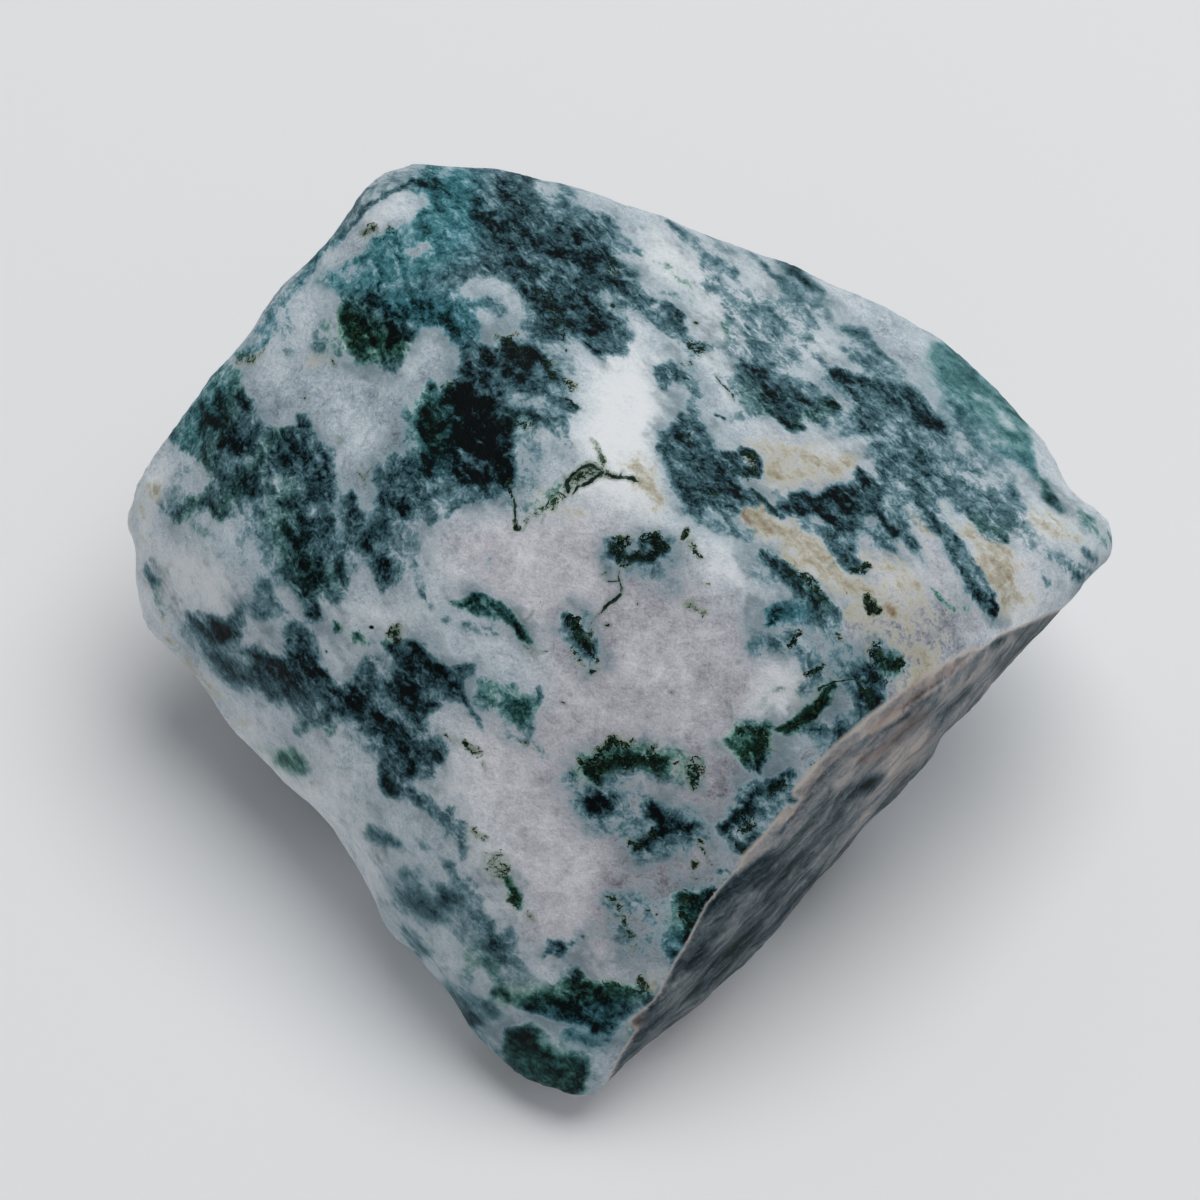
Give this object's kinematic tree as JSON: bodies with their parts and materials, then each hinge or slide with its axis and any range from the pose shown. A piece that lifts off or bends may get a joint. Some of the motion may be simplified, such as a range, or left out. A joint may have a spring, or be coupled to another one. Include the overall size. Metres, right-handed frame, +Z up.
{
  "type": "tree agate",
  "caption": "Rough broken piece of tree agate, white chalcedony with green moss-like growths, lying on a small flat spot of its back.",
  "frame": {"origin": "centre of the bounding box, on the surface that the stone lies on", "axes": "+X towards the stone's pointed right end, +Y towards the back and top corner, +Z up; the broad front face looks towards -Y and up"},
  "size_m": [0.0426, 0.036, 0.0219],
  "materials": {
    "tree_agate_chalcedony": "half matt white chalcedony with dark green moss-like growths, teal clouds and a few tan iron stains"
  },
  "bodies": {
    "root": {"tree_agate": "tree_agate_chalcedony"}
  },
  "joints": []
}
